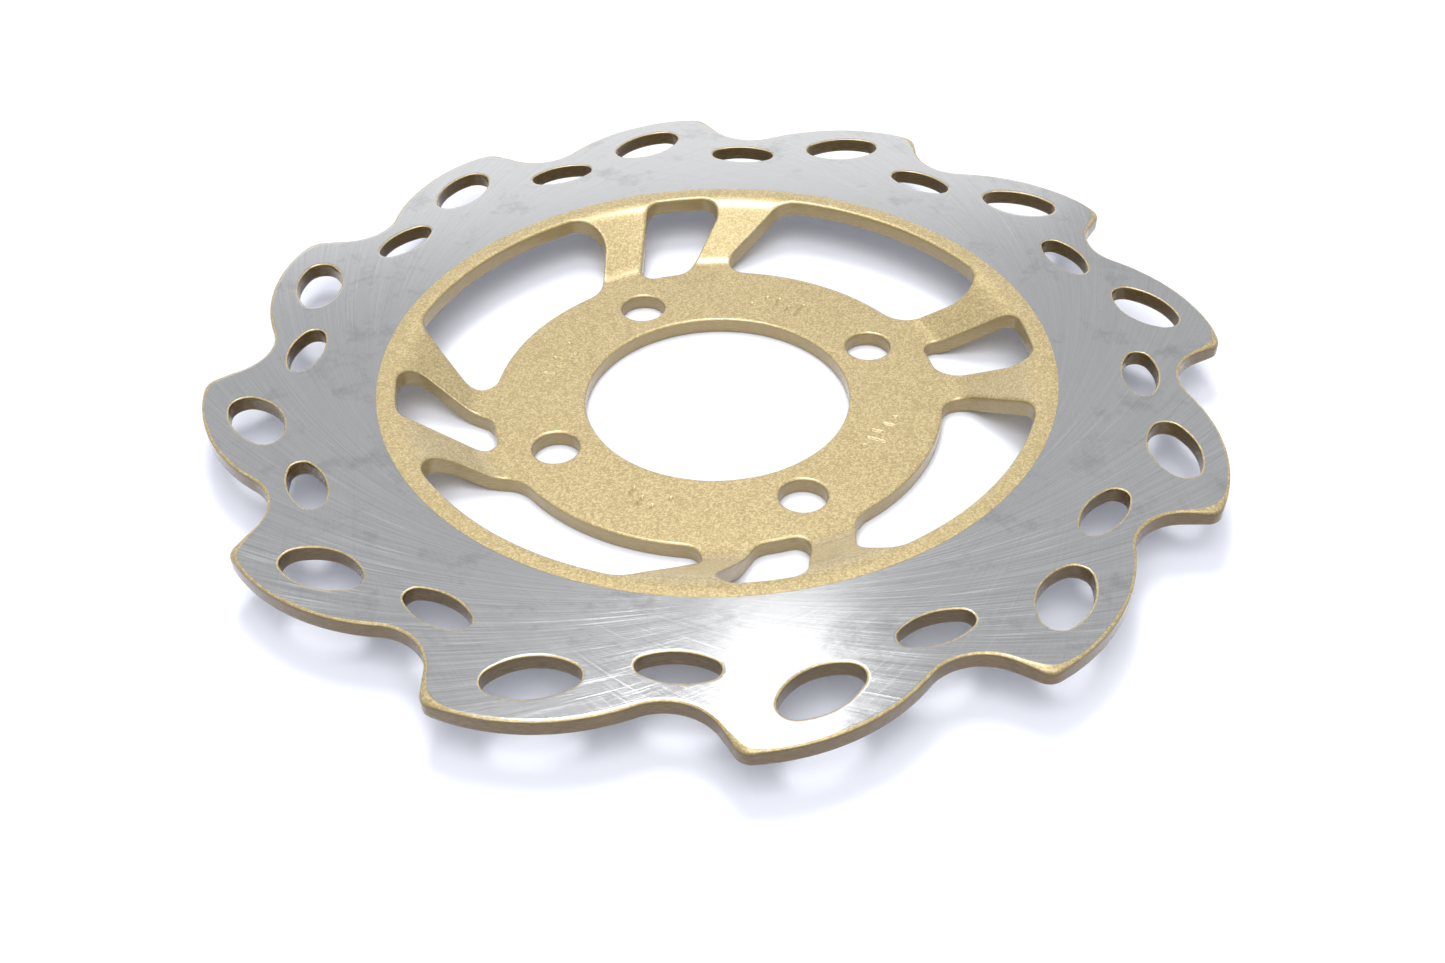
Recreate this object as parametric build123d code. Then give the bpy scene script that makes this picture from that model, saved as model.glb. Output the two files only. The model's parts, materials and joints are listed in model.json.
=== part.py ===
from build123d import *
from math import acos, atan2, cos, hypot, pi, radians, sin, sqrt, tan
import os

# A petal-edged motorcycle brake disc rotor, stamped from one sheet: a flat friction ring and, one
# dish lower, the flange that bolts to the wheel hub. Millimetres. The bore's axis is Z, and the
# flange's back face lies on z = 0. The flange's bolt holes lie on the X and Y axes.

# Driving dimensions
OUTER_DIAMETER = 220.0
SHEET = 3.5              # thickness of the stamped sheet
DISH = 9.1               # how far the flange lies below the ring
PAINT_EDGE = 73.0        # radius where the painted carrier ends and the bare friction ring begins
BORE_DIAMETER = 58.0
BOLT_CIRCLE = 77.0
BOLT_HOLE = 10.2
BOLTS = 4
PETALS = 12

# Dished wall between the flange and the ring, radii of its two bends on the top face
LOWER_BEND = 53.3
UPPER_BEND = 68.0
INNER_BEND_RADIUS = 7.0  # on the hollow side of a bend

# One petal, as polar places (radius, degrees) in the ring's own sector
RING_START = 5.0         # the sector's start, measured from a bolt hole
TIP_RADIUS = 3.5
TIP_ANGLE = 1.15
VALLEY_CENTRE = (110.0, 23.05)
VALLEY_RADIUS = 11.5
CREST_RADIUS = 42.5      # the long falling edge between a tip and its valley

# Brake slots: both ends as (radius, degrees, end radius), then the radii of the two long sides
OUTER_SLOT = ((100.2, 5.8, 3.5), (95.7, 11.8, 3.2), 12.2, 14.8)
INNER_SLOT = ((90.85, 27.0, 2.5), (90.5, 20.3, 2.4), 14.0, 14.0)

# Windows in the dished wall, between these radii
WINDOW_OUTER = 69.0
WINDOW_INNER = 49.3

# Each window is drawn pointing along +Y: a point and a lean from +Y (degrees, clockwise) for both
# sides, then the corner radii: left outer, right outer, right inner, left inner.
LARGE_WINDOW = {"turn": 29.0, "left": (-26.1, 55.0, 14.3), "right": (27.3, 51.2, 59.4),
                "corners": (7.0, 6.1, 8.0, 4.2)}
SMALL_WINDOW = {"turn": 73.0, "left": (-8.2, 57.0, 15.1), "right": (7.2, 57.6, 37.8),
                "corners": (4.0, 4.0, 5.0, 3.0)}

RING_TOP = DISH + SHEET
CUT_DEPTH = 2 * RING_TOP  # long enough to pass through the whole dished plate


def polar(radius, degrees):
    return Vector(radius * cos(radians(degrees)), radius * sin(radians(degrees)))


def arc_about(centre, start, end):
    """The shorter arc from start to end round the given centre."""
    radius = (start - centre).length
    middle = ((start - centre).normalized() + (end - centre).normalized()).normalized()
    return ThreePointArc(start, centre + middle * radius, end)


def circles_meet(centre_a, radius_a, centre_b, radius_b, side):
    """Where two circles cross, on the given side (+1 left, -1 right) of the way from a to b."""
    way = centre_b - centre_a
    span = way.length
    along = (span**2 + radius_a**2 - radius_b**2) / (2 * span)
    across = sqrt(radius_a**2 - along**2)
    ahead = way / span
    left = Vector(-ahead.Y, ahead.X)
    return centre_a + ahead * along + left * across * side


def toward(start, target, distance):
    return start + (target - start).normalized() * distance


def petal_edge(index):
    """Tip, crest, valley and flank of one petal, as far as the next petal's tip."""
    pitch = 360 / PETALS
    start = RING_START + index * pitch
    tip_centre = polar(OUTER_DIAMETER / 2 - TIP_RADIUS, start + TIP_ANGLE)
    next_tip = polar(OUTER_DIAMETER / 2 - TIP_RADIUS, start + TIP_ANGLE + pitch)
    valley = polar(VALLEY_CENTRE[0], start + VALLEY_CENTRE[1])
    crest_centre = circles_meet(
        tip_centre, CREST_RADIUS - TIP_RADIUS, valley, CREST_RADIUS + VALLEY_RADIUS, 1)
    crest_start = toward(tip_centre, crest_centre, -TIP_RADIUS)
    crest_end = toward(valley, crest_centre, VALLEY_RADIUS)
    flank_start, flank_end = flank(valley, next_tip)
    previous_valley = polar(VALLEY_CENTRE[0], start + VALLEY_CENTRE[1] - pitch)
    tip_start = flank(previous_valley, tip_centre)[1]
    return [
        arc_about(tip_centre, tip_start, crest_start),
        arc_about(crest_centre, crest_start, crest_end),
        arc_about(valley, crest_end, flank_start),
        Line(flank_start, flank_end),
    ]


def flank(valley, tip_centre):
    """Ends of the straight flank that crosses from a valley's circle to a tip's circle."""
    way = tip_centre - valley
    heading = atan2(way.Y, way.X) + acos((VALLEY_RADIUS + TIP_RADIUS) / way.length)
    outward = Vector(cos(heading), sin(heading))
    return valley + outward * VALLEY_RADIUS, tip_centre - outward * TIP_RADIUS


def ring_face():
    edges = [edge for index in range(PETALS) for edge in petal_edge(index)]
    return Face(Wire([edge.edge() for edge in edges]))


def slot_face(slot, start):
    """A leaf-shaped slot: two round ends joined by two long arcs that touch both."""
    (radius_a, angle_a, end_a), (radius_b, angle_b, end_b), outer_side, inner_side = slot
    centre_a = polar(radius_a, start + angle_a)
    centre_b = polar(radius_b, start + angle_b)
    edges = []
    touches = []
    for side_radius, side in ((outer_side, -1), (inner_side, 1)):
        centre = circles_meet(centre_a, side_radius - end_a, centre_b, side_radius - end_b, side)
        touch_a = toward(centre_a, centre, -end_a)
        touch_b = toward(centre_b, centre, -end_b)
        edges.append(arc_about(centre, touch_a, touch_b))
        touches.append((touch_a, touch_b))
    way = (centre_b - centre_a).normalized()
    nose_a = ThreePointArc(touches[1][0], centre_a - way * end_a, touches[0][0])
    nose_b = ThreePointArc(touches[0][1], centre_b + way * end_b, touches[1][1])
    return Face(Wire([edge.edge() for edge in (edges[0], nose_b, edges[1], nose_a)]))


def side_meets(side, radius):
    """Where a window's leaning side crosses a circle about the bore, on the outward half."""
    x, y, lean = side
    step = Vector(sin(radians(lean)), cos(radians(lean)))
    along = x * step.X + y * step.Y
    reach = -along + sqrt(along**2 - (x * x + y * y - radius**2))
    return Vector(x, y) + step * reach


def window_face(window):
    left_out = side_meets(window["left"], WINDOW_OUTER)
    right_out = side_meets(window["right"], WINDOW_OUTER)
    right_in = side_meets(window["right"], WINDOW_INNER)
    left_in = side_meets(window["left"], WINDOW_INNER)
    centre = Vector(0, 0)
    face = Face(Wire([edge.edge() for edge in (
        arc_about(centre, left_out, right_out),
        Line(right_out, right_in),
        arc_about(centre, right_in, left_in),
        Line(left_in, left_out),
    )]))
    for corner, radius in zip((left_out, right_out, right_in, left_in), window["corners"]):
        nearest = min(face.vertices(), key=lambda v: hypot(v.X - corner.X, v.Y - corner.Y))
        face = face.fillet_2d(radius, [nearest])
    return face


def cutter(face):
    if face.normal_at().Z < 0:
        face = -face
    return Pos(0, 0, -SHEET) * extrude(face, amount=CUT_DEPTH, dir=(0, 0, 1))


def dish_section():
    """Half section of the carrier: flange, sloping wall and the rim up to the paint's edge."""
    slope = atan2(DISH, UPPER_BEND - LOWER_BEND)
    shift = SHEET * tan(slope / 2)  # a bend's corner lies this much further out on the back
    bore = BORE_DIAMETER / 2
    corners = [
        (bore, 0), (LOWER_BEND + shift, 0), (UPPER_BEND + shift, DISH), (PAINT_EDGE, DISH),
        (PAINT_EDGE, RING_TOP), (UPPER_BEND, RING_TOP), (LOWER_BEND, SHEET), (bore, SHEET),
    ]
    outer_bend_radius = INNER_BEND_RADIUS + SHEET
    bends = {1: outer_bend_radius, 2: INNER_BEND_RADIUS, 5: outer_bend_radius, 6: INNER_BEND_RADIUS}
    face = Face(Wire.make_polygon([(x, 0, z) for x, z in corners]))
    for index, radius in bends.items():
        x, z = corners[index]
        nearest = min(face.vertices(), key=lambda v: hypot(v.X - x, v.Z - z))
        face = face.fillet_2d(radius, [nearest])
    return face


def friction_ring():
    ring = Pos(0, 0, DISH) * extrude(ring_face(), amount=SHEET, dir=(0, 0, 1))
    cuts = [Pos(0, 0, RING_TOP / 2) * Cylinder(PAINT_EDGE, CUT_DEPTH)]
    for index in range(PETALS):
        start = RING_START + index * 360 / PETALS
        cuts += [cutter(slot_face(slot, start)) for slot in (OUTER_SLOT, INNER_SLOT)]
    return ring - cuts


def carrier():
    plate = revolve(dish_section(), Axis.Z, 360)
    cuts = []
    for index in range(BOLTS):
        turn = index * 360 / BOLTS
        for window in (LARGE_WINDOW, SMALL_WINDOW):
            cuts.append(Rot(0, 0, window["turn"] - 90 + turn) * cutter(window_face(window)))
        hole = polar(BOLT_CIRCLE / 2, turn)
        cuts.append(Pos(hole.X, hole.Y, RING_TOP / 2) * Cylinder(BOLT_HOLE / 2, CUT_DEPTH))
    return plate - cuts


os.makedirs("parts", exist_ok=True)
for name, shape in (("friction_ring", friction_ring()), ("carrier", carrier())):
    export_step(shape, f"parts/{name}.step")
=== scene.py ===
import json
import math
from cmath import exp, phase, rect

import bpy
import numpy as np
from mathutils import Matrix, Vector
from mathutils.geometry import delaunay_2d_cdt


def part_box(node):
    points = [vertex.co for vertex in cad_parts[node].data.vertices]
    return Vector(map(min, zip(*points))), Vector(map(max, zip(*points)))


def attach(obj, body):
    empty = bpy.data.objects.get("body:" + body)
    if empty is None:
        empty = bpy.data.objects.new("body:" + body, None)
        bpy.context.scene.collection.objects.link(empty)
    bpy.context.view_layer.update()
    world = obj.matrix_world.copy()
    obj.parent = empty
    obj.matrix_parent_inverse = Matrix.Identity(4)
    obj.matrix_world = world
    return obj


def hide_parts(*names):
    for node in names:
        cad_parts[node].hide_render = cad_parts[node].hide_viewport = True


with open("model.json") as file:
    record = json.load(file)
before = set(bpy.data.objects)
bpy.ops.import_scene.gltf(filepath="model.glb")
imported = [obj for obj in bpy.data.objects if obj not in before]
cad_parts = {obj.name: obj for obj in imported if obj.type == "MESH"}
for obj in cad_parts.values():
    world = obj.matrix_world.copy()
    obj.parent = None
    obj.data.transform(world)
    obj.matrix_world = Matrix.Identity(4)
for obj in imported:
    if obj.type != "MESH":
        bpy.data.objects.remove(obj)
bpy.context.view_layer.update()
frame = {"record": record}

MM = 0.001  # the outlines below are worked out in millimetres, as complex numbers x + iy

# ---------------------------------------------------------------------------------------------
# Sizes that the frame gives
# ---------------------------------------------------------------------------------------------
MOUNTS = {mount["name"]: mount for mount in frame["record"]["mounts"]}
BORE_RADIUS = MOUNTS["hub_bore"]["dims"]["r_mm"]
BOLT_CIRCLE_RADIUS = MOUNTS["hub_bolts"]["dims"]["pcd_mm"] / 2
BOLT_HOLE_RADIUS = MOUNTS["hub_bolts"]["dims"]["hole_r_mm"]
BOLTS = MOUNTS["hub_bolts"]["dims"]["count"]
RING_LOW, RING_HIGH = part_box("friction_ring")
CARRIER_LOW, CARRIER_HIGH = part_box("carrier")
SHEET = (RING_HIGH.z - RING_LOW.z) / MM
DISH = (RING_LOW.z - CARRIER_LOW.z) / MM
RING_TOP = DISH + SHEET
PAINT_EDGE = round(CARRIER_HIGH.x / MM)

# ---------------------------------------------------------------------------------------------
# The outline, on the same construction as the CAD part
# ---------------------------------------------------------------------------------------------
PETALS = 12
PITCH = 360 / PETALS
RING_START = 5.0
TIP_REACH = 110.0
TIP_RADIUS = 3.5
TIP_ANGLE = 1.15
VALLEY = (110.0, 23.05)
VALLEY_RADIUS = 11.5
CREST_RADIUS = 42.5
OUTER_SLOT = ((100.2, 5.8, 3.5), (95.7, 11.8, 3.2), 12.2, 14.8)
INNER_SLOT = ((90.85, 27.0, 2.5), (90.5, 20.3, 2.4), 14.0, 14.0)

WINDOW_OUTER = 69.0
WINDOW_INNER = 49.3
LARGE_WINDOW = {"turn": 29.0, "left": (-26.1, 55.0, 14.3), "right": (27.3, 51.2, 59.4),
                "corners": (7.0, 6.1, 8.0, 4.2)}
SMALL_WINDOW = {"turn": 73.0, "left": (-8.2, 57.0, 15.1), "right": (7.2, 57.6, 37.8),
                "corners": (4.0, 4.0, 5.0, 3.0)}

LOWER_BEND = 53.3
UPPER_BEND = 68.0
INNER_BEND_RADIUS = 7.0

# ---------------------------------------------------------------------------------------------
# The stamped edge
# ---------------------------------------------------------------------------------------------
STEP = 0.55            # spacing of points along an outline
RING_GRID = 2.2        # spacing of the points between the outlines
CARRIER_GRID = 1.3
PETAL_ROLL = 0.66      # die roll: how far the rounded shoulder reaches in from the wall
TIP_ROLL = 1.15        # and how much further it reaches round a petal's tip
TIP_ROLL_REACH = 4.2
TIP_ROLL_ANGLE = -0.2  # the widest place, in degrees from the petal's start
SLOT_ROLL = 0.42
WINDOW_ROLL = 0.6
HOLE_ROLL = 0.7
ROLL_RATIO = 0.55      # depth of the roll over its width
BURR = 0.06            # small break at the lower edge
GROUND_OFF = 0.05      # how much the ground faces lie below the painted ones
SHARP_ANGLE = 62       # only the square edge at the paint boundary is sharper than this
SUPPORT = 0.35         # a flat strip beyond the shoulder that keeps the big face's shading flat
ROLL_STEPS = 4         # rows of faces round the shoulder
WALL_ROWS = 6          # and down the wall
ROLL_UNEVEN = 0.25     # the share by which the roll's width and depth wander along an outline
WIDTH_WAVE = 3.1       # how long the waves of that wandering are, for the width and for the depth
DEPTH_WAVE = 4.0
SHEARED_BAND = 0.35    # the upper share of the wall, smooth; below it the wall is torn
TEAR_DRAFT = 0.05      # how far the torn band leans in, and how uneven it is
TEAR_UNEVEN = 0.045
TEAR_WAVE = 0.8        # how long the waves of the tears are, and how much longer at the foot
TEAR_WAVE_GAIN = 0.3
WALL_INSET = 0.03      # how far in the wall ends at its foot
FOOT_WEIGHT = 0.3      # the 'flat' weight just beyond the foot
GRID_CLEARANCE = 0.8   # no grid point lies closer to an outline than this
GRID_ROW = 0.866       # distance between the rows of a triangular grid, over its spacing
PAINT_EDGE_STEP = 1.0  # spacing of points along the paint's edge and round a bolt hole
HOLE_STEP = 0.4

# The waves that make up the unevenness: how many, the turn from one's heading to the next's, in radians,
# their frequencies, and the shift of each
WAVES = 4
WAVE_TURN = 2.4
WAVE_BASE, WAVE_STEP = 0.6, 0.37
WAVE_SHIFT = 1.7

POINTS_AT_ONCE = 400   # grid points compared with an outline at a time, to save memory
SAME_POINT = 1e-7      # points nearer than this count as one

# Plain bars and dots stamped into the flange: (angle, how many) for each field, and each bar's ends
STAMPS = ((41, 5), (131, 5), (221, 4), (311, 5))
STAMP_BARS = ((-2.0, 2.0), (1.4, 1.9), (-2.0, 0.0), (-1.9, -1.4), (-0.2, 2.0))
STAMP_RADIUS = 37.7    # the fields' middle line
STAMP_REACH = 2.9      # half a field's height
STAMP_PITCH = 2.9
STAMP_STROKE = 0.40    # half the width of a bar at the surface
STAMP_SLOPE = 0.2      # how far its side slopes in
STAMP_DEPTH = 0.34
STAMP_GRID = 0.24      # spacing of points in and near a field
STAMP_MARGIN = 1.0     # how far the fine grid reaches past a field's ends
STAMP_SHADE = 0.75     # how much of the walls' darker tone the recess takes, as painted shade in it


def polar(radius, degrees):
    """The point at a radius and an angle about the bore."""
    return rect(radius, math.radians(degrees))


def arc(centre, start, end, step=STEP):
    """Points on the shorter arc from start to end, without the end."""
    turn = phase((end - centre) / (start - centre))
    count = max(2, round(abs(turn) * abs(start - centre) / step))
    return [centre + (start - centre) * exp(1j * turn * i / count) for i in range(count)]


def line(start, end, step=STEP):
    """Points on the straight way from start to end, without the end."""
    count = max(2, round(abs(end - start) / step))
    return [start + (end - start) * i / count for i in range(count)]


def toward(start, target, distance):
    return start + (target - start) / abs(target - start) * distance


def circles_meet(centre_a, radius_a, centre_b, radius_b, side):
    """Where two circles cross, on the given side (+1 left, -1 right) of the way from a to b."""
    way = centre_b - centre_a
    along = (abs(way) ** 2 + radius_a**2 - radius_b**2) / (2 * abs(way))
    across = math.sqrt(radius_a**2 - along**2)
    return centre_a + way / abs(way) * complex(along, across * side)


def flank(valley, tip_centre):
    """Ends of the straight flank that crosses from a valley's circle to a tip's circle."""
    way = tip_centre - valley
    outward = rect(1, phase(way) + math.acos((VALLEY_RADIUS + TIP_RADIUS) / abs(way)))
    return valley + outward * VALLEY_RADIUS, tip_centre - outward * TIP_RADIUS


def petal_outline():
    """Tip, crest, valley and flank of every petal in turn."""
    points = []
    for index in range(PETALS):
        start = RING_START + index * PITCH
        tip = polar(TIP_REACH - TIP_RADIUS, start + TIP_ANGLE)
        next_tip = tip * polar(1, PITCH)
        valley = polar(VALLEY[0], start + VALLEY[1])
        crest = circles_meet(tip, CREST_RADIUS - TIP_RADIUS, valley, CREST_RADIUS + VALLEY_RADIUS, 1)
        crest_start = toward(tip, crest, -TIP_RADIUS)
        crest_end = toward(valley, crest, VALLEY_RADIUS)
        flank_start, flank_end = flank(valley, next_tip)
        tip_start = flank_end * polar(1, -PITCH)
        points += arc(tip, tip_start, crest_start)
        points += arc(crest, crest_start, crest_end)
        points += arc(valley, crest_end, flank_start)
        points += line(flank_start, flank_end)
    return points


def slot_outline(slot, start):
    """A leaf: two round ends joined by two long arcs that touch both."""
    (radius_a, angle_a, end_a), (radius_b, angle_b, end_b), outer_side, inner_side = slot
    a = polar(radius_a, start + angle_a)
    b = polar(radius_b, start + angle_b)
    outer = circles_meet(a, outer_side - end_a, b, outer_side - end_b, -1)
    inner = circles_meet(a, inner_side - end_a, b, inner_side - end_b, 1)
    outer_a, outer_b = toward(a, outer, -end_a), toward(b, outer, -end_b)
    inner_a, inner_b = toward(a, inner, -end_a), toward(b, inner, -end_b)
    nose_a = toward(a, b, -end_a)
    nose_b = toward(b, a, -end_b)
    return (arc(outer, outer_a, outer_b) + arc(b, outer_b, nose_b) + arc(b, nose_b, inner_b)
            + arc(inner, inner_b, inner_a) + arc(a, inner_a, nose_a) + arc(a, nose_a, outer_a))


def window_corner(side, ring_radius, radius, rightward):
    """Fillet between a leaning side and a circle about the bore: its centre and both touch points."""
    x, y, lean = side
    along = rect(1, math.radians(90 - lean))
    into = along * (1j if rightward else -1j)   # from this side towards the window's middle
    base = complex(x, y) + into * radius
    reach = ring_radius - radius if ring_radius == WINDOW_OUTER else ring_radius + radius
    forward = (base * along.conjugate()).real
    distance = -forward + math.sqrt(forward**2 - abs(base) ** 2 + reach**2)
    centre = base + along * distance
    return centre, toward(0, centre, ring_radius), centre - into * radius


def window_outline(window, turn):
    """The window, drawn pointing along +Y and then turned about the bore."""
    left, right = window["left"], window["right"]
    r_left_out, r_right_out, r_right_in, r_left_in = window["corners"]
    c1, arc1, side1 = window_corner(left, WINDOW_OUTER, r_left_out, False)
    c2, arc2, side2 = window_corner(right, WINDOW_OUTER, r_right_out, True)
    c3, arc3, side3 = window_corner(right, WINDOW_INNER, r_right_in, True)
    c4, arc4, side4 = window_corner(left, WINDOW_INNER, r_left_in, False)
    points = (arc(0, arc1, arc2) + arc(c2, arc2, side2) + line(side2, side3) + arc(c3, side3, arc3)
              + arc(0, arc3, arc4) + arc(c4, arc4, side4) + line(side4, side1) + arc(c1, side1, arc1))
    spin = polar(1, window["turn"] - 90 + turn)
    return [point * spin for point in points]


def circle_outline(centre, radius, step=STEP):
    count = round(2 * math.pi * radius / step)
    return [centre + polar(radius, 360 * i / count) for i in range(count)]


# ---------------------------------------------------------------------------------------------
# From outlines to a closed, rounded sheet
# ---------------------------------------------------------------------------------------------
def inward(points, solid_inside):
    """Unit vectors from each outline point into the sheet."""
    p = np.array(points)
    along = np.roll(p, -1) - np.roll(p, 1)
    along /= np.abs(along)
    area = 0.5 * np.sum((np.roll(p, -1).imag + p.imag) * (p.real - np.roll(p, -1).real))
    left_is_inside = area > 0
    return along * (1j if left_is_inside == solid_inside else -1j)


def near_stamp(p):
    """Whether each point lies in one of the stamped fields of the flange."""
    found = np.zeros(len(p), bool)
    for angle, count in STAMPS:
        along = np.angle(p * polar(1, -angle)) * STAMP_RADIUS
        in_length = np.abs(along) < count * STAMP_PITCH / 2 + STAMP_MARGIN
        found |= in_length & (np.abs(np.abs(p) - STAMP_RADIUS) < STAMP_REACH)
    return found


def stamped(p):
    """Depth, from 0 to 1, of the plain bars and dots stamped into the flange."""
    depth = np.zeros(len(p))
    for group, (angle, count) in enumerate(STAMPS):
        along = np.angle(p * polar(1, -angle)) * STAMP_RADIUS
        up = np.abs(p) - STAMP_RADIUS
        for index in range(count):
            low, high = STAMP_BARS[(index * 2 + group) % len(STAMP_BARS)]
            across = along - (index - (count - 1) / 2) * STAMP_PITCH
            beyond = np.maximum(np.maximum(low - up, up - high), 0)
            distance = np.hypot(across, beyond)
            depth = np.maximum(depth, np.clip((STAMP_STROKE - distance) / STAMP_SLOPE, 0, 1))
    return depth


def dish_heights(radius, p=None):
    """Top and bottom height of the dished sheet at a radius, stamped where the points are given too."""
    slope = math.atan2(DISH, UPPER_BEND - LOWER_BEND)
    shift = SHEET * math.tan(slope / 2)
    outer_bend = INNER_BEND_RADIUS + SHEET

    def surface(low, high, low_radius, high_radius, base):
        # flat, arc, slope, arc, flat: each bend of radius R starts R tan(slope / 2) before its corner
        low_run = low_radius * math.tan(slope / 2)
        high_run = high_radius * math.tan(slope / 2)
        r = np.asarray(radius, float)
        z = base + (r - low) * math.tan(slope)
        lower = low_radius - np.sqrt(np.maximum(low_radius**2 - (r - low + low_run) ** 2, 0))
        upper = high_radius - np.sqrt(np.maximum(high_radius**2 - (high + high_run - r) ** 2, 0))
        z = np.where(r < low + low_run * math.cos(slope), base + lower, z)
        z = np.where(r < low - low_run, base, z)
        z = np.where(r > high - high_run * math.cos(slope), base + DISH - upper, z)
        return np.where(r > high + high_run, base + DISH, z)

    top = surface(LOWER_BEND, UPPER_BEND, INNER_BEND_RADIUS, outer_bend, SHEET)
    if p is not None:
        top = top - STAMP_DEPTH * stamped(p)
    bottom = surface(LOWER_BEND + shift, UPPER_BEND + shift, outer_bend, INNER_BEND_RADIUS, 0.0)
    return top, bottom


def flat_heights(radius, p=None):
    r = np.asarray(radius, float)
    return np.full(r.shape, RING_TOP - GROUND_OFF), np.full(r.shape, DISH + GROUND_OFF)


def wobble(p, scale, seed):
    """A smooth, repeatable unevenness between -1 and 1 over the plane, with no random draws."""
    total = np.zeros(len(p))
    for k in range(1, WAVES + 1):
        heading = rect(1, WAVE_TURN * k + seed)
        along = (p * heading.conjugate()).real
        total += np.sin(along / scale * (WAVE_BASE + WAVE_STEP * k) + WAVE_SHIFT * k * seed)
    return total / WAVES


class Sheet:
    """Collects vertices, faces and the 'flat' weight (1 on a face, falling to 0 at a wall)."""

    def __init__(self):
        self.points, self.flat, self.faces, self.count = [], [], [], 0

    def add(self, xy, z, flat):
        start = self.count
        xy = np.asarray(xy)
        self.points.append(np.column_stack([xy.real, xy.imag, z]))
        self.flat.append(np.broadcast_to(np.asarray(flat, float), (len(xy),)))
        self.count += len(xy)
        return np.arange(start, start + len(xy))

    def strip(self, row_a, row_b, flip):
        n = len(row_a)
        for i in range(n):
            j = (i + 1) % n
            quad = (row_a[i], row_a[j], row_b[j], row_b[i])
            self.faces.append(quad[::-1] if flip else quad)

    def object(self, name):
        mesh = bpy.data.meshes.new(name)
        vertices = np.concatenate(self.points) * MM
        mesh.from_pydata(vertices.tolist(), [], [tuple(int(v) for v in f) for f in self.faces])
        weight = mesh.attributes.new("flat", "FLOAT", "POINT")
        weight.data.foreach_set("value", np.concatenate(self.flat).astype(np.float32))
        mesh.validate()
        mesh.shade_smooth()
        mesh.set_sharp_from_angle(angle=math.radians(SHARP_ANGLE))
        piece = bpy.data.objects.new(name, mesh)
        bpy.context.scene.collection.objects.link(piece)
        return piece


def grid_points(spacing, lowest, highest):
    """A triangular grid over the plane between two radii, for well-shaped faces."""
    rows = int(highest / (spacing * GRID_ROW)) + 1
    found = []
    for j in range(-rows, rows + 1):
        for i in range(-rows - 2, rows + 3):
            point = complex((i + 0.5 * (j % 2)) * spacing, j * spacing * GRID_ROW)
            if lowest < abs(point) < highest:
                found.append(point)
    return np.array(found)


def clear_of(points, loops):
    """The points that keep clear of every loop's points."""
    keep = np.ones(len(points), bool)
    for loop in loops:
        loop = np.array(loop)
        centre = loop.mean()
        reach = np.abs(loop - centre).max() + GRID_CLEARANCE
        near = np.where(keep & (np.abs(points - centre) < reach))[0]
        for chunk in np.array_split(near, max(1, len(near) // POINTS_AT_ONCE)):
            if len(chunk):
                gap = np.abs(points[chunk][:, None] - loop[None, :]).min(1)
                keep[chunk[gap < GRID_CLEARANCE]] = False
    return points[keep]


def fill(sheet, loops, interior, z, flat, upward):
    """Triangulates the area between closed loops, the first being the outer one."""
    rows = [row for row, _ in loops]
    rim = np.concatenate([points for _, points in loops])
    index_of = np.concatenate(rows)
    edges = []
    offset = 0
    for row in rows:
        n = len(row)
        edges += [(offset + i, offset + (i + 1) % n) for i in range(n)]
        offset += n
    coords = np.concatenate([rim, interior])
    vertices = [Vector((p.real, p.imag)) for p in coords]
    new_vertices, _, triangles, originals = delaunay_2d_cdt(vertices, edges, [], 0, SAME_POINT)[:4]
    inner_index = sheet.add(interior, z, flat)
    lookup = np.concatenate([index_of, inner_index])
    ids = [lookup[o[0]] if o else -1 for o in originals]
    xy = np.array([complex(v.x, v.y) for v in new_vertices])
    centres = np.array([xy[list(t)].mean() for t in triangles])
    inside = inside_loop(centres, loops[0][1])
    for _, hole in loops[1:]:
        inside &= ~inside_loop(centres, hole)
    for triangle, keep in zip(triangles, inside):
        if keep:
            face = tuple(ids[i] for i in triangle)
            sheet.faces.append(face if upward else face[::-1])


def inside_loop(points, loop):
    """Whether each point lies inside the loop, from how often a level line to its right crosses it."""
    loop = np.array(loop)
    result = np.zeros(len(points), bool)
    low_x, high_x, low_y, high_y = loop.real.min(), loop.real.max(), loop.imag.min(), loop.imag.max()
    near = np.where((points.real > low_x) & (points.real < high_x)
                    & (points.imag > low_y) & (points.imag < high_y))[0]
    p = points[near]
    crossings = np.zeros(len(near), bool)
    for a, b in zip(loop, np.roll(loop, -1)):
        if a.imag == b.imag:
            continue
        spans = (a.imag > p.imag) != (b.imag > p.imag)
        x = a.real + (p.imag - a.imag) * (b.real - a.real) / (b.imag - a.imag)
        crossings ^= spans & (p.real < x)
    result[near] = crossings
    return result


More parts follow.
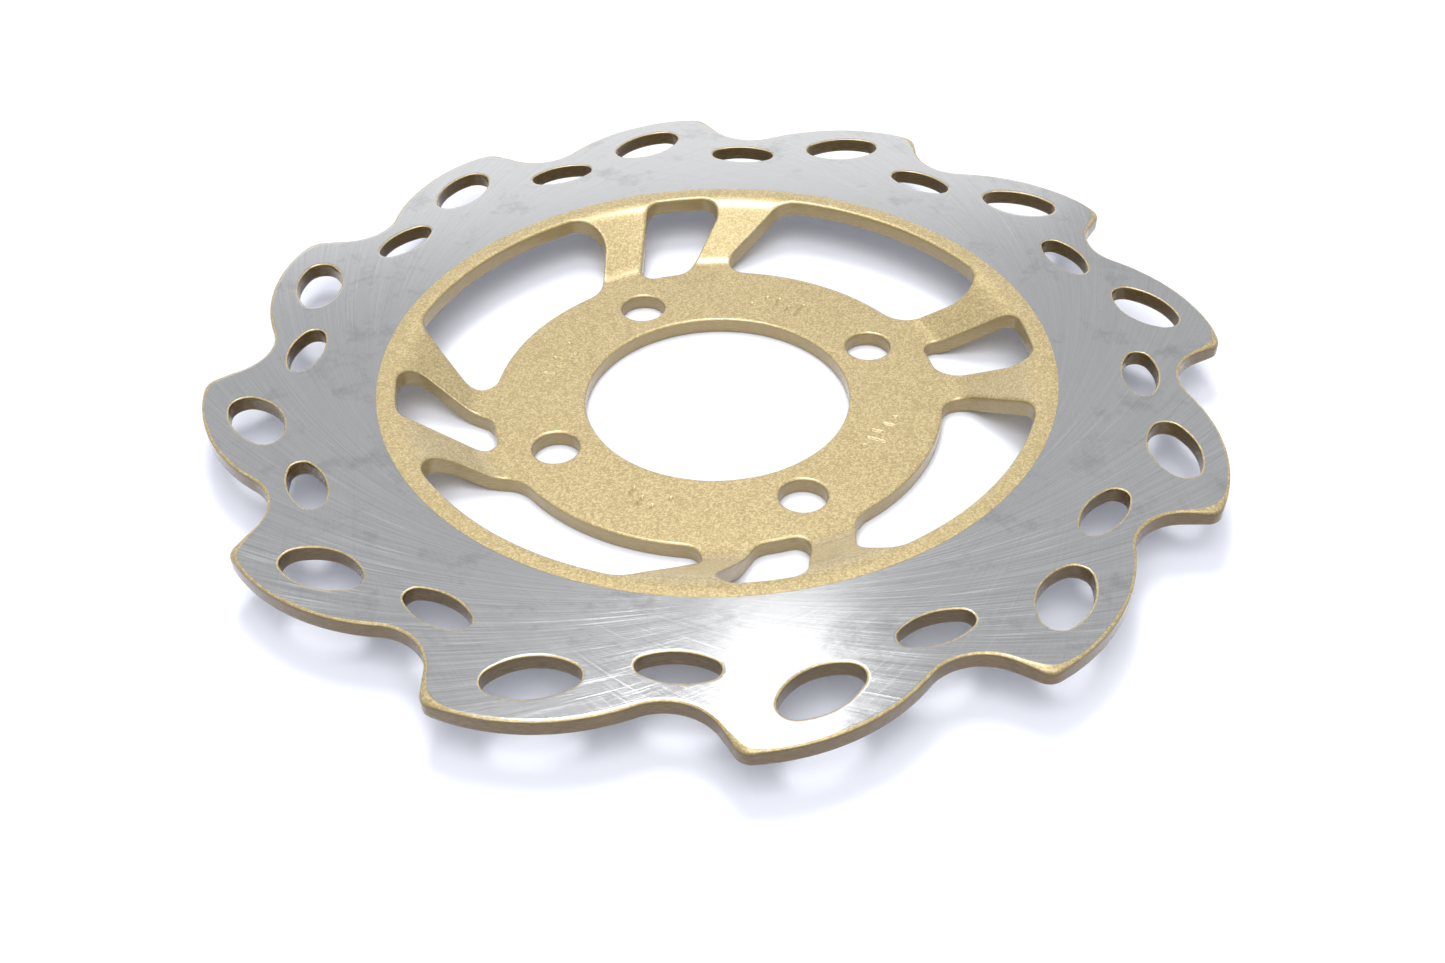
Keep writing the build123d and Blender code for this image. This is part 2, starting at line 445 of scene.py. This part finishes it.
def edge_rows(sheet, points, solid_inside, heights, roll):
    """Adds an outline's shoulder, wall and lower break. Returns the top and bottom rows to fill from."""
    p = np.array(points)
    into = inward(points, solid_inside)
    top, bottom = heights(np.abs(p))
    if roll is None:   # the paint's edge, where the two zones meet: a square edge
        upper = sheet.add(p, top, 1.0)
        lower = sheet.add(p, bottom, 1.0)
        sheet.strip(upper, lower, solid_inside)
        return (upper, p), (lower, p)
    width = roll * (1 + ROLL_UNEVEN * wobble(p, WIDTH_WAVE, 1.0))
    depth = roll * ROLL_RATIO * (1 + ROLL_UNEVEN * wobble(p, DEPTH_WAVE, 2.0))
    rows = []
    inner = p + into * (width + SUPPORT)
    rows.append(sheet.add(inner, heights(np.abs(inner))[0], 1.0))
    top_row = (rows[0], inner)
    for step in range(ROLL_STEPS + 1):
        angle = 0.5 * math.pi * (1 - step / ROLL_STEPS)
        place = p + into * width * (1 - math.cos(angle))
        z = heights(np.abs(place))[0] - depth * (1 - math.sin(angle))
        rows.append(sheet.add(place, z, 1 - step / ROLL_STEPS))
    wall_top = top - depth
    wall_bottom = bottom + BURR
    for row in range(1, WALL_ROWS):
        share = row / WALL_ROWS
        z = wall_top + (wall_bottom - wall_top) * share
        torn = max(0.0, share - SHEARED_BAND)
        unevenness = wobble(p, TEAR_WAVE + TEAR_WAVE_GAIN * share, 3.0 + row)
        place = p + into * (TEAR_DRAFT * torn + TEAR_UNEVEN * torn * unevenness)
        rows.append(sheet.add(place, z, 0.0))
    rows.append(sheet.add(p + into * WALL_INSET, wall_bottom, 0.0))
    below = p + into * (BURR + WALL_INSET)
    rows.append(sheet.add(below, heights(np.abs(below))[1], FOOT_WEIGHT))
    last = p + into * (BURR + SUPPORT)
    rows.append(sheet.add(last, heights(np.abs(last))[1], 1.0))
    for upper, lower in zip(rows, rows[1:]):
        sheet.strip(upper, lower, solid_inside)
    return top_row, (rows[-1], last)


def make_sheet(name, edges, heights, interior, flatness=lambda p: 1.0):
    """A closed sheet. Each edge is (outline, roll), the first being the outer one. The grids for the top
    and the bottom are in interior, and flatness gives the top's 'flat' weight at a point."""
    sheet = Sheet()
    tops, bottoms = [], []
    for index, (outline, roll) in enumerate(edges):
        top_row, bottom_row = edge_rows(sheet, outline, index == 0, heights, roll)
        tops.append(top_row)
        bottoms.append(bottom_row)
    for side, loops in enumerate((tops, bottoms)):
        points = clear_of(interior[side], [outline for _, outline in loops])
        inside = inside_loop(points, loops[0][1])
        for _, hole in loops[1:]:
            inside &= ~inside_loop(points, hole)
        points = points[inside]
        flat = flatness(points) if side == 0 else 1.0
        fill(sheet, loops, points, heights(np.abs(points), points)[side], flat, side == 0)
    return sheet.object(name)


def ccw(points):
    """The outline's points, counter-clockwise."""
    p = np.array(points)
    area = np.sum(p.real * np.roll(p, -1).imag - np.roll(p, -1).real * p.imag)
    return points if area > 0 else points[::-1]


def petal_roll(outline):
    """The roll's width along the petals: wider round each tip."""
    p = np.array(outline)
    tips = [polar(TIP_REACH, RING_START + TIP_ROLL_ANGLE + index * PITCH) for index in range(PETALS)]
    gap = np.abs(p[:, None] - np.array(tips)[None, :]).min(1)
    return PETAL_ROLL + TIP_ROLL * np.exp(-((gap / TIP_ROLL_REACH) ** 2))


def build_ring():
    petals = ccw(petal_outline())
    edges = [(petals, petal_roll(petals)), (circle_outline(0, PAINT_EDGE, PAINT_EDGE_STEP), None)]
    for index in range(PETALS):
        for slot in (OUTER_SLOT, INNER_SLOT):
            edges.append((ccw(slot_outline(slot, RING_START + index * PITCH)), SLOT_ROLL))
    grid = grid_points(RING_GRID, PAINT_EDGE, TIP_REACH)
    return make_sheet("ring", edges, flat_heights, (grid, grid))


def build_carrier():
    edges = [(circle_outline(0, PAINT_EDGE, PAINT_EDGE_STEP), None),
             (circle_outline(0, BORE_RADIUS), HOLE_ROLL)]
    for index in range(BOLTS):
        turn = index * 360 / BOLTS
        hole = circle_outline(polar(BOLT_CIRCLE_RADIUS, turn), BOLT_HOLE_RADIUS, HOLE_STEP)
        edges.append((hole, HOLE_ROLL))
        for window in (LARGE_WINDOW, SMALL_WINDOW):
            edges.append((ccw(window_outline(window, turn)), WINDOW_ROLL))
    coarse = grid_points(CARRIER_GRID, BORE_RADIUS, PAINT_EDGE)
    fine = grid_points(STAMP_GRID, STAMP_RADIUS - STAMP_REACH, STAMP_RADIUS + STAMP_REACH)
    top = np.concatenate([coarse[~near_stamp(coarse)], fine[near_stamp(fine)]])
    # painted shade: the stamped recesses take the walls' darker tone
    return make_sheet("hub_carrier", edges, dish_heights, (top, coarse),
                      lambda p: 1 - STAMP_SHADE * stamped(p))


# ---------------------------------------------------------------------------------------------
# Materials
# ---------------------------------------------------------------------------------------------
class Nodes:
    """Short-hand for building a node tree."""

    def __init__(self, name):
        self.material = bpy.data.materials.new(name)
        self.material.use_nodes = True
        self.tree = self.material.node_tree
        self.tree.nodes.clear()

    def node(self, kind, inputs=None, **settings):
        made = self.tree.nodes.new(kind)
        for key, value in settings.items():
            setattr(made, key, value)
        for key, value in (inputs or {}).items():
            if isinstance(value, bpy.types.NodeSocket):
                self.tree.links.new(value, made.inputs[key])
            else:
                made.inputs[key].default_value = value
        return made

    def math(self, operation, a, b=0.0, c=None):
        inputs = {0: a, 1: b}
        if c is not None:
            inputs[2] = c
        return self.node("ShaderNodeMath", inputs, operation=operation).outputs[0]

    def ramp(self, value, stops):
        """A colour ramp; each stop is a place and a grey level or a colour."""
        ramp = self.node("ShaderNodeValToRGB", {0: value})
        elements = ramp.color_ramp.elements
        while len(elements) < len(stops):
            elements.new(0.5)
        for element, (place, color) in zip(elements, stops):
            element.position = place
            element.color = color if isinstance(color, tuple) else (color, color, color, 1)
        return ramp.outputs[0]

    def noise(self, vector, scale, detail, roughness):
        made = self.node("ShaderNodeTexNoise", {
            "Vector": vector, "Scale": scale, "Detail": detail, "Roughness": roughness})
        return made.outputs[0]

    def mix(self, factor, a, b):
        made = self.node("ShaderNodeMix", data_type="RGBA")
        for socket, value in ((made.inputs[0], factor), (made.inputs[6], a), (made.inputs[7], b)):
            if isinstance(value, bpy.types.NodeSocket):
                self.tree.links.new(value, socket)
            else:
                socket.default_value = value
        return made.outputs[2]


def position(n):
    """Object position in millimetres, and its radius and angle about the bore."""
    place = n.node("ShaderNodeTexCoord").outputs["Object"]
    scaled = n.node("ShaderNodeVectorMath", {0: place, 1: (1000, 1000, 1000)}, operation="MULTIPLY")
    x, y, _ = n.node("ShaderNodeSeparateXYZ", {0: scaled.outputs[0]}).outputs
    radius = n.math("SQRT", n.math("ADD", n.math("MULTIPLY", x, x), n.math("MULTIPLY", y, y)))
    return scaled.outputs[0], radius, n.math("ARCTAN2", y, x)


# Gold paint: the tones of its grain, of its clouds, and of the ring's and the carrier's stamped walls. The
# walls' darker tones are painted shade; on the ring's torn walls the streaks are their own
GOLD_STOPS = ((0.25, (0.345, 0.255, 0.108, 1)), (0.58, (0.475, 0.365, 0.163, 1)),
              (0.95, (0.70, 0.58, 0.32, 1)))
GOLD_CLOUD = (0.53, 0.415, 0.20, 1)
WALL_PLACES = (0.3, 0.5, 0.72)
# painted shade: these wall tones are darker than the paint itself, to stand for the shade on the walls
RING_WALL_SHADED = ((0.066, 0.037, 0.007, 1), (0.126, 0.075, 0.014, 1), (0.225, 0.148, 0.040, 1))
CARRIER_WALL_SHADED = ((0.28, 0.205, 0.082, 1), (0.35, 0.262, 0.108, 1), (0.44, 0.335, 0.145, 1))
RING_TEAR, CARRIER_TEAR = 4.0, 1.0         # how rough those walls are
FLAKE_SCALE = 3.0                          # flakes per millimetre
GOLD_ROUGHNESS = 0.36
GOLD_RELIEF = 0.00003                      # metres
BORDER_UNEVEN = 0.10                       # how ragged the paint's border on a rolled edge is
BARED_FROM, BARED_TO = 0.90, 0.93          # 'flat' weights between which the paint gives way to steel

# Ground steel
WHEEL_RADIUS, WHEEL_OFFSET = 170.0, 98.5   # the grinding wheel, and how far its centre is from the bore
GLINT_SIDE = 244.0                          # the side of the disc, in degrees, where the marks are painted as glints
STEEL_STOPS = ((0.1, (0.51, 0.51, 0.512, 1)), (0.5, (0.65, 0.65, 0.652, 1)), (0.9, (0.79, 0.79, 0.792, 1)))
# painted highlight: the bright tone of a scratch where it glints
SCRATCH_GLINT_TONE = (0.93, 0.93, 0.94, 1)
SMUDGE_TONE = (0.27, 0.27, 0.28, 1)
STEEL_ROUGHNESS = 0.11
STEEL_RELIEF = 0.00002                     # metres
SCRATCH_STOPS = ((0.60, 0.0), (0.70, 1.0))  # the part of the noise that becomes a long scratch, painted bright as a glint

# Marks: how closely they lie in the two arc families, how fast they change along an arc, and the noise's
# detail and roughness
FINE_MARKS = ((240, 260), 0.12, 2.0, 0.6)
BROAD_MARKS = ((105, 115), 0.07, 3.0, 0.7)
LONG_MARKS = ((160, 170), 0.10, 1.0, 0.5)

FLOOR_STOPS = ((0.3, (0.86, 0.88, 0.97, 1)), (0.7, (0.89, 0.91, 0.985, 1)))


def gold_shader(n, place, wall, shaded_wall_stops, tear):
    """Satin gold metallic paint with fine flakes. On a stamped wall it is streaked, and darker with
    painted shade.
    """
    flakes = n.node("ShaderNodeTexVoronoi", {"Vector": place, "Scale": FLAKE_SCALE}, feature="F1")
    flake_tone = n.node("ShaderNodeSeparateColor", {0: flakes.outputs["Color"]}).outputs[0]
    grain = n.noise(place, 4.2, 3.0, 0.7)
    cloud = n.noise(place, 0.05, 2.0, 0.5)
    tone = n.math("ADD", n.math("MULTIPLY", flake_tone, 0.55), n.math("MULTIPLY", grain, 0.6))
    color = n.mix(n.math("MULTIPLY", cloud, 0.25), n.ramp(tone, GOLD_STOPS), GOLD_CLOUD)
    # walls: horizontal tear marks under a smoother sheared band, in darker tones that are painted shade
    stretch = n.node("ShaderNodeMapping", {0: place, 3: (0.35, 0.35, 5.0)}).outputs[0]
    streaks = n.noise(stretch, 1.6, 4.0, 0.65)
    shaded_wall_color = n.ramp(streaks, tuple(zip(WALL_PLACES, shaded_wall_stops)))
    color = n.mix(wall, color, shaded_wall_color)
    bump_height = n.math("ADD", n.math("MULTIPLY", grain, 0.5), n.math("MULTIPLY", flake_tone, 0.5))
    rough_height = n.math("MULTIPLY", n.math("MULTIPLY", streaks, tear), wall)
    height = n.math("ADD", bump_height, rough_height)
    bump = n.node("ShaderNodeBump", {"Strength": 0.35, "Distance": GOLD_RELIEF, "Height": height})
    rough = n.math("ADD", GOLD_ROUGHNESS, n.math("MULTIPLY", flake_tone, 0.10))
    rough = n.math("ADD", rough, n.math("MULTIPLY", wall, 0.2))
    return n.node("ShaderNodeBsdfPrincipled", {
        "Base Color": color, "Metallic": 0.4, "Roughness": rough, "Coat Weight": 1.0,
        "Coat Roughness": 0.15, "Normal": bump.outputs[0]}).outputs[0]


def grinding(n, radius, angle, side, count, run):
    """Coordinates of marks along arcs of a grinding wheel whose centre orbits the bore at an offset.
    Each point's arc is named by the angle of its wheel's centre, so a mark follows its arc."""
    square = n.math("ADD", n.math("MULTIPLY", radius, radius), WHEEL_OFFSET**2 - WHEEL_RADIUS**2)
    cosine = n.math("DIVIDE", square, n.math("MULTIPLY", radius, 2 * WHEEL_OFFSET))
    swing = n.math("ARCCOSINE", cosine)
    arc_name = n.math("ADD", angle, n.math("MULTIPLY", swing, side))
    return n.node("ShaderNodeCombineXYZ", {
        0: n.math("MULTIPLY", n.math("COSINE", arc_name), count),
        1: n.math("MULTIPLY", n.math("SINE", arc_name), count),
        2: n.math("MULTIPLY", radius, run)}).outputs[0]


def marks(n, radius, angle, counts, run, detail, roughness):
    """Noise drawn out along the wheel's arcs, once for each of the two families that cross."""
    return [n.noise(grinding(n, radius, angle, side, count, run), 1.0, detail, roughness)
            for side, count in zip((-1, 1), counts)]


def steel_shader(n, place, radius, angle):
    """Ground steel: crossing arcs of fine marks, faint smudges, and long scratches painted bright as
    glints on one side, where the marks' contrast is painted stronger too.
    """
    # painted highlight: on one side of the disc the marks are painted as glints, each arc family glinting
    # on its own half of it
    turn = n.math("SUBTRACT", angle, math.radians(GLINT_SIDE))
    side = n.math("MULTIPLY_ADD", n.math("SINE", turn), 0.5, 0.5)
    glint_zone = n.ramp(n.math("MULTIPLY_ADD", n.math("COSINE", turn), 0.5, 0.5), [(0.50, 0.05), (0.82, 1.0)])
    share = n.ramp(side, [(0.30, 0.22), (0.70, 0.78)])
    fine = n.mix(share, *marks(n, radius, angle, *FINE_MARKS))
    broad = n.mix(share, *marks(n, radius, angle, *BROAD_MARKS))
    long_a, long_b = [n.ramp(noise, SCRATCH_STOPS) for noise in marks(n, radius, angle, *LONG_MARKS)]
    long_a = n.math("MULTIPLY", long_a, n.ramp(side, [(0.35, 1.0), (0.70, 0.15)]))
    long_b = n.math("MULTIPLY", long_b, n.ramp(side, [(0.30, 0.15), (0.65, 1.0)]))
    patch = n.ramp(n.noise(place, 0.045, 2.0, 0.5), [(0.40, 0.3), (0.60, 1.0)])
    scratch_glint = n.math("MULTIPLY", n.math("MAXIMUM", long_a, long_b), n.math("MULTIPLY", glint_zone, patch))
    smudge = n.ramp(n.noise(place, 0.10, 6.0, 0.72), [(0.54, 0.0), (0.70, 1.0)])
    tone = n.math("ADD", n.math("MULTIPLY", fine, 1.1), n.math("MULTIPLY", broad, 1.3))
    # painted sheen: the marks' contrast is stronger where they glint
    tone = n.math("MULTIPLY", n.math("SUBTRACT", tone, 1.2), n.math("MULTIPLY_ADD", glint_zone, 0.6, 0.4))
    color = n.ramp(n.math("ADD", tone, 0.5), STEEL_STOPS)
    # painted highlight: the scratches turn bright where they glint
    color = n.mix(n.math("MULTIPLY", scratch_glint, 0.6), color, SCRATCH_GLINT_TONE)
    color = n.mix(n.math("MULTIPLY", smudge, 0.32), color, SMUDGE_TONE)
    bump = n.node("ShaderNodeBump", {"Strength": 0.3, "Distance": STEEL_RELIEF, "Height": fine})
    rough = n.math("ADD", STEEL_ROUGHNESS, n.math("MULTIPLY", broad, 0.08))
    rough = n.math("ADD", rough, n.math("MULTIPLY", scratch_glint, 0.10))
    tangent = n.node("ShaderNodeTangent", direction_type="RADIAL", axis="Z")
    return n.node("ShaderNodeBsdfPrincipled", {
        "Base Color": color, "Metallic": 1.0, "Roughness": rough, "Anisotropic": 0.35,
        "Anisotropic Rotation": 0.25, "Normal": bump.outputs[0],
        "Tangent": tangent.outputs[0]}).outputs[0]


def surface_material(name, bare):
    """Gold paint all over, or, where the ring is ground bare, on its edges only."""
    n = Nodes(name)
    place, radius, angle = position(n)
    flat = n.node("ShaderNodeAttribute", attribute_name="flat").outputs["Fac"]
    wall = n.ramp(flat, [(0.02, 1.0), (0.45, 0.0)])
    shaded_wall_look = (RING_WALL_SHADED, RING_TEAR) if bare else (CARRIER_WALL_SHADED, CARRIER_TEAR)
    shader = gold_shader(n, place, wall, *shaded_wall_look)
    if bare:
        steel = steel_shader(n, place, radius, angle)
        # the grinding bares the flat faces; paint stays on the rolled edge, with a ragged border
        ragged = n.math("SUBTRACT", n.noise(place, 1.2, 3.0, 0.6), 0.5)
        uneven = n.math("MULTIPLY", ragged, BORDER_UNEVEN)
        bared = n.ramp(n.math("ADD", flat, uneven), [(BARED_FROM, 0.0), (BARED_TO, 1.0)])
        shader = n.node("ShaderNodeMixShader", {0: bared, 1: shader, 2: steel}).outputs[0]
    n.node("ShaderNodeOutputMaterial", {0: shader})
    return n.material


def floor_material():
    n = Nodes("studio_floor")
    place = n.node("ShaderNodeTexCoord").outputs["Object"]
    shade = n.ramp(n.noise(place, 3.0, 3.0, 0.5), FLOOR_STOPS)
    shader = n.node("ShaderNodeBsdfPrincipled", {"Base Color": shade, "Roughness": 0.8}).outputs[0]
    n.node("ShaderNodeOutputMaterial", {0: shader})
    return n.material


# ---------------------------------------------------------------------------------------------
# Assemble the object
# ---------------------------------------------------------------------------------------------
ring = build_ring()
ring.data.materials.append(surface_material("bare_steel", True))
carrier = build_carrier()
carrier.data.materials.append(surface_material("gold_paint_finish", False))

for piece, node, slot in ((ring, "friction_ring", "ground_steel"), (carrier, "carrier", "gold_paint")):
    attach(piece, "root")
    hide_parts(node)

# ---------------------------------------------------------------------------------------------
# Studio: floor, light and camera
# ---------------------------------------------------------------------------------------------
VIEW_TURN = -26.324       # the camera's azimuth about the bore, from -Y
VIEW_DOWN = 40.277        # how far its axis points below the horizon
VIEW_ROLL = 1.348
CAMERA_SIDE, CAMERA_BACK, CAMERA_UP = 0.664, -289.03, 210.70   # mm, height above the ring's face
LENS = 41.04
SURROUND_FRONT, SURROUND_BACK = 0.50, 0.60   # radiance of the surround
SURROUND_BLEND = 0.9      # how far from the middle, to the front and to the back, it reaches these
SURROUND_COLOR = (0.97, 0.98, 1.0, 1)
FLOOR_HALF = 3.0          # metres
FLOOR_CELLS = 24
FLOOR_DROP = 0.0002

# Name, azimuth and elevation in degrees, distance, size, power. Azimuth 0 is straight behind the disc, as
# the camera sees it.
SOFTBOXES = (
    ("key_lamp", 4.0, 51, 1.2, (0.12, 0.12), 0.085),   # the hot spot on the near side of the ring
    ("bend_lamp", -5, 70, 1.2, (0.32, 0.46), 6.2),     # the bright lines along the far bends
    ("overhead", 180, 76, 1.1, (0.8, 0.8), 1.3),
    ("front_fill", 180, 62, 1.3, (1.3, 1.0), 9.5),
    ("back_card", -5, 20, 1.2, (0.9, 0.45), 0.7),
)


def turned(vector):
    """From the camera's own left and right to the frame's axes."""
    return Matrix.Rotation(math.radians(VIEW_TURN), 3, "Z") @ Vector(vector)


def add_floor():
    mesh = bpy.data.meshes.new("floor")
    step = 2 * FLOOR_HALF / FLOOR_CELLS
    row = FLOOR_CELLS + 1
    points = [(-FLOOR_HALF + i * step, -FLOOR_HALF + j * step, -FLOOR_DROP)
              for j in range(row) for i in range(row)]
    faces = [(j * row + i, j * row + i + 1, (j + 1) * row + i + 1, (j + 1) * row + i)
             for j in range(FLOOR_CELLS) for i in range(FLOOR_CELLS)]
    mesh.from_pydata(points, [], faces)
    floor = bpy.data.objects.new("floor", mesh)
    bpy.context.scene.collection.objects.link(floor)
    mesh.materials.append(floor_material())


def add_softbox(name, azimuth, elevation, distance, size, power):
    """A rectangular light aimed at the disc."""
    data = bpy.data.lights.new(name, "AREA")
    data.shape = "RECTANGLE"
    data.size, data.size_y = size
    data.energy = power
    lamp = bpy.data.objects.new(name, data)
    a, e = math.radians(azimuth), math.radians(elevation)
    place = turned((distance * math.sin(a) * math.cos(e), distance * math.cos(a) * math.cos(e),
                    distance * math.sin(e)))
    lamp.location = place
    lamp.rotation_euler = place.to_track_quat("Z", "Y").to_euler()
    bpy.context.scene.collection.objects.link(lamp)


def add_camera():
    data = bpy.data.cameras.new("camera")
    data.sensor_width = 36
    data.lens = LENS
    data.clip_start = 0.01
    camera = bpy.data.objects.new("camera", data)
    down_angle, roll = math.radians(VIEW_DOWN), math.radians(VIEW_ROLL)
    forward = Vector((0, math.cos(down_angle), -math.sin(down_angle)))
    side = Vector((1, 0, 0))
    down = forward.cross(side)
    right = side * math.cos(roll) + down * math.sin(roll)
    lower = down * math.cos(roll) - side * math.sin(roll)
    axes = Matrix((turned(right), -turned(lower), -turned(forward))).transposed()
    place = turned((CAMERA_SIDE * MM, CAMERA_BACK * MM, (CAMERA_UP + RING_TOP) * MM))
    camera.matrix_world = Matrix.Translation(place) @ axes.to_4x4()
    bpy.context.scene.collection.objects.link(camera)
    bpy.context.scene.camera = camera


def add_world():
    """A neutral surround, brighter behind the disc than on the camera's side."""
    world = bpy.data.worlds.new("studio")
    world.use_nodes = True
    tree = world.node_tree
    direction = tree.nodes.new("ShaderNodeTexCoord").outputs["Generated"]
    facing = tree.nodes.new("ShaderNodeVectorMath")
    facing.operation = "DOT_PRODUCT"
    tree.links.new(direction, facing.inputs[0])
    facing.inputs[1].default_value = turned((0, 1, 0))
    strength = tree.nodes.new("ShaderNodeMapRange")
    tree.links.new(facing.outputs["Value"], strength.inputs["Value"])
    limits = (-SURROUND_BLEND, SURROUND_BLEND, SURROUND_FRONT, SURROUND_BACK)
    for socket, value in zip(strength.inputs[1:5], limits):
        socket.default_value = value
    background = tree.nodes["Background"]
    background.inputs[0].default_value = SURROUND_COLOR
    tree.links.new(strength.outputs[0], background.inputs[1])
    bpy.context.scene.world = world


add_floor()
for softbox in SOFTBOXES:
    add_softbox(*softbox)
add_camera()
add_world()

settings = bpy.context.scene.view_settings
settings.view_transform = "Standard"
settings.look = "None"
settings.exposure = 0.0
